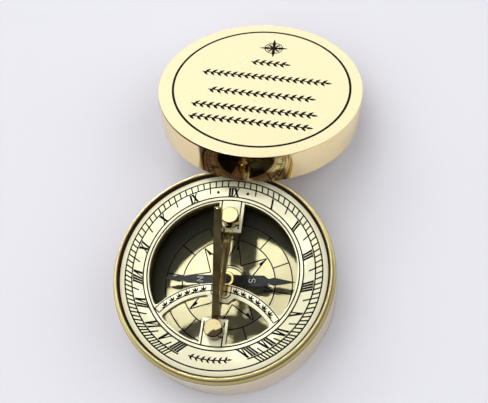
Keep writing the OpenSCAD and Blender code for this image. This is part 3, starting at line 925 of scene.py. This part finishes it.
class SUNDIAL_OT_plate(bpy.types.Operator):
    """Finish the hour plate and fill its engraving"""
    bl_idname = "sundial.plate"
    bl_label = "Hour plate"

    def execute(self, context):
        sizes, colours = context.scene.sundial_sizes, context.scene.sundial_colours
        plate = merged_copy("hour_plate")
        soften(plate, sizes.edge_round / MM)
        satin = satin_plate("plate_satin", colours.plate, colours.brass, colours.tarnish_and_shade)
        new_piece("pierced_plate", plate, "base", satin, ["hour_plate"])
        ink = flat_paint("black_filler", colours.filler, 0.7, gloss=0.04)
        inlay_piece("dial_engraving", draw_dial(sizes), "base", ink)
        return {"FINISHED"}


class SUNDIAL_OT_gnomon(bpy.types.Operator):
    """Finish the gnomon, its posts, pins and screws"""
    bl_idname = "sundial.gnomon"
    bl_label = "Gnomon and posts"

    def execute(self, context):
        sizes = context.scene.sundial_sizes
        gnomon = merged_copy("gnomon")
        soften(gnomon, sizes.edge_round / MM)
        new_piece("gnomon_casting", gnomon, "gnomon", finish("gnomon_brass"),
                  ["gnomon"])
        for node in ("upper_post", "lower_post", "upper_post_screw", "lower_post_screw"):
            dress_node(node, finish("post_brass"))
        steel = flat_paint("bright_pins", (0.5, 0.5, 0.48), 0.25, metallic=1.0)
        for node in ("upper_hinge_pin", "lower_hinge_pin", "pivot_point"):
            dress_node(node, steel)
        return {"FINISHED"}


class SUNDIAL_OT_compass(bpy.types.Operator):
    """Finish the card, the needle, its cap, the rings and the glass"""
    bl_idname = "sundial.compass"
    bl_label = "Compass"

    def execute(self, context):
        sizes, colours = context.scene.sundial_sizes, context.scene.sundial_colours
        dress_node("compass_card", card_metal("card_polish", colours.card))
        for node in ("chamber_ring", "spacer_ring"):
            dress_node(node, finish("chamber_brass"))
        dress_node("pivot_pillar", finish("post_brass"))
        dress_node("glass_seal", flat_paint("seal_black", (0.02, 0.02, 0.02), 0.7))
        dress_node("compass_glass", clear_glass("clear_window"))
        dress_node("needle_blade",
                   flat_paint("blackened_steel", colours.needle, 0.35, gloss=0.3))
        dress_node("cap_jewel", flat_paint("jewel_green", colours.jewel, 0.12))
        ink = bpy.data.materials["black_filler"]
        inlay_piece("card_engraving", draw_card(sizes), "base", ink)
        cap = turn(((JEWEL_R, CAP_Z), (CAP_R, CAP_Z), (CAP_R, CAP_TOP, 0.45),
                    (JEWEL_R, CAP_TOP, 0.15)), steps=64, closed=True)
        new_piece("cap_ring", cap, "needle", finish("cap_brass"), ["needle_cap"])
        self.letters(colours.letters)
        return {"FINISHED"}

    @staticmethod
    def letters(white):
        """N and S on the needle, their tops along it towards each tip."""
        bm = bmesh.new()
        low, high = NEEDLE_Z - SINK, NEEDLE_Z + LETTER_RISE
        turn_needle = Matrix.Rotation(NEEDLE_YAW, 4, "Z")
        half, tall = LETTER_HALF, LETTER_TALL

        def put(points, middle):
            for a, b in zip(points, points[1:]):
                ends = [turn_needle @ Vector((middle - y, x, 0)) for x, y in (a, b)]
                strip(bm, *ends, LETTER_LINE, low, high)

        put(((-half, -tall), (-half, tall), (half, -tall), (half, tall)), N_AT)
        turns = [math.radians(a) for a in range(20, 271, 25)]
        curve = [(half * math.cos(a), tall / 2 + tall / 2 * math.sin(a)) for a in turns]
        curve += [(-x, -y) for x, y in reversed(curve)]
        put(curve, S_AT)
        inlay_piece("needle_letters", bm, "needle", flat_paint("letter_white", white, 0.5))


class SUNDIAL_OT_lid(bpy.types.Operator):
    """Turn the leaning lid and fill its engraving"""
    bl_idname = "sundial.lid"
    bl_label = "Lid"

    def execute(self, context):
        inner = LID_R - LID_WALL
        cup = turn(((0, LID_H), (LID_R, LID_H, 0.35), (LID_R, 0, 0.2), (inner, 0, 0.12),
                    (inner, LID_H - LID_FACE_T, 0.3), (0, LID_H - LID_FACE_T)))
        bmesh.ops.transform(cup, matrix=LID_PLACE, verts=cup.verts)
        new_piece("lid_shell", cup, "lid", finish("lid_brass"), ["lid"])
        ink = bpy.data.materials["black_filler"]
        inlay_piece("lid_engraving", draw_lid(context.scene.sundial_sizes), "lid", ink, LID_FACE)
        return {"FINISHED"}


class SUNDIAL_OT_stage(bpy.types.Operator):
    """Set up the floor, the white tent, the softbox and the camera"""
    bl_idname = "sundial.stage"
    bl_label = "Studio"

    def execute(self, context):
        scene = context.scene
        colours, light = scene.sundial_colours, scene.sundial_light
        self.floor(colours.floor, light.backdrop)
        self.tent(light)
        self.lamp("softbox", light.key, SOFTBOX_SIZE, SOFTBOX_AT, on_metal=True)
        for name, share, place in FILLS:
            self.lamp(name, share * light.fill, FILL_SIZE, place, on_metal=False)
        self.camera()
        scene.view_settings.view_transform = "Standard"
        return {"FINISHED"}

    @staticmethod
    def floor(shade, backdrop):
        """A matt floor just below the object that glows far out, as the background does."""
        bm = bmesh.new()
        bmesh.ops.create_grid(bm, x_segments=1, y_segments=1, size=FLOOR_HALF)
        bmesh.ops.translate(bm, vec=(0, 0, FLOOR_DOWN), verts=bm.verts)
        mesh = bpy.data.meshes.new("studio_floor")
        bm.to_mesh(mesh)
        bm.free()
        material, nodes, shader = start_finish("studio_floor")
        tooth = nodes.noise(scale=900, detail=4)
        nodes.fill(shader, {
            "Base Color": nodes.blend(nodes.ease(tooth, 0.3, 0.7, 0, 0.3), shade,
                                      scaled(shade, 0.97, 0.97, 0.97)),
            "Roughness": 0.6, "Normal": nodes.bump(tooth, 0.05, 2 * MARK_DEPTH)})
        far, _ = nodes.from_axis(FADE_SPOT, (0, 0, 1))
        seen = nodes.add("ShaderNodeLightPath")
        mirrored = Field(nodes, seen.socket.node.outputs["Is Glossy Ray"])
        glow = nodes.add("ShaderNodeEmission", sockets={
            "Color": STUDIO_WHITE, "Strength": backdrop})
        ground = nodes.add("ShaderNodeMixShader", sockets={
            0: seen.larger(mirrored) * nodes.ease(far, FADE_FROM, FADE_TO),
            1: Field(nodes, shader.outputs[0]), 2: glow})
        nodes.fill(material.node_tree.nodes["Material Output"], {"Surface": ground})
        mesh.materials.append(material)
        floor = bpy.data.objects.new("studio_floor", mesh)
        bpy.context.scene.collection.objects.link(floor)

    @staticmethod
    def tent(light):
        """White at the horizon and, higher up, behind and to the left; dark elsewhere."""
        world = bpy.data.worlds.new("studio_tent")
        bpy.context.scene.world = world
        world.use_nodes = True
        nodes = Nodes(world.node_tree)
        x, y, z = nodes.parts(nodes.add("ShaderNodeTexCoord", output=0))
        below_top = nodes.ease(z, 0.5, 0.72, 1, 0)
        back_left = nodes.ease(y, -0.5, 0.1) * nodes.ease(x, 0.5, 0.9, 1, 0)
        horizon = nodes.ease(z, 0.0, 0.12, 1, 0)
        white = below_top * back_left.larger(horizon)
        level = nodes.ease(white, 0, 1, light.front, light.tent)
        seen = nodes.add("ShaderNodeLightPath")
        level = level + seen * (light.backdrop - level)
        background = world.node_tree.nodes["Background"]
        nodes.fill(background, {"Color": STUDIO_WHITE, "Strength": level})

    @staticmethod
    def lamp(name, power, size, place, on_metal):
        """A round lamp aimed at the object, seen either by metal alone or by the rest alone."""
        lamp = bpy.data.lights.new(name, "AREA")
        lamp.shape = "DISK"
        lamp.size = size
        lamp.energy = power
        box = bpy.data.objects.new(name, lamp)
        box.location = Vector(place)
        box.rotation_euler = (-box.location).to_track_quat("-Z", "Y").to_euler()
        box.visible_camera = False
        box.visible_diffuse = not on_metal
        box.visible_glossy = on_metal
        bpy.context.scene.collection.objects.link(box)

    @staticmethod
    def camera():
        """Puts the camera where the photograph was taken from."""
        camera = bpy.data.cameras.new("camera")
        camera.sensor_width = SENSOR_WIDTH
        camera.lens = LENS
        camera.clip_start = 0.01
        seat = bpy.data.objects.new("camera", camera)
        turned = Matrix((CAMERA_RIGHT, CAMERA_UP, CAMERA_RIGHT.cross(CAMERA_UP))).transposed()
        seat.matrix_world = Matrix.Translation(CAMERA_AT * MM) @ turned.to_4x4()
        bpy.context.scene.collection.objects.link(seat)
        bpy.context.scene.camera = seat


OPERATORS = (SUNDIAL_OT_case, SUNDIAL_OT_plate, SUNDIAL_OT_gnomon, SUNDIAL_OT_compass,
             SUNDIAL_OT_lid, SUNDIAL_OT_stage)


class SUNDIAL_PT_panel(bpy.types.Panel):
    """The pieces of the sundial compass"""
    bl_idname = "SUNDIAL_PT_panel"
    bl_label = "Sundial compass"
    bl_space_type = "VIEW_3D"
    bl_region_type = "UI"
    bl_category = "Sundial"

    def draw(self, context):
        scene = context.scene
        for group in (scene.sundial_sizes, scene.sundial_colours, scene.sundial_light):
            box = self.layout.box()
            for key in group.__annotations__:
                box.prop(group, key)
        for operator in OPERATORS:
            self.layout.operator(operator.bl_idname)


GROUPS = {"sundial_sizes": SundialSizes, "sundial_colours": SundialColours,
          "sundial_light": SundialLight}


def register():
    for group in GROUPS.values():
        bpy.utils.register_class(group)
    for operator in OPERATORS:
        bpy.utils.register_class(operator)
    bpy.utils.register_class(SUNDIAL_PT_panel)
    for key, group in GROUPS.items():
        setattr(bpy.types.Scene, key, bpy.props.PointerProperty(type=group))


def unregister():
    for key in GROUPS:
        delattr(bpy.types.Scene, key)
    bpy.utils.unregister_class(SUNDIAL_PT_panel)
    for cls in (*OPERATORS, *GROUPS.values()):
        bpy.utils.unregister_class(cls)


def main():
    register()
    bpy.ops.sundial.case()
    bpy.ops.sundial.plate()
    bpy.ops.sundial.gnomon()
    bpy.ops.sundial.compass()
    bpy.ops.sundial.lid()
    bpy.ops.sundial.stage()
    bpy.context.view_layer.update()


if __name__ == "__main__":
    main()
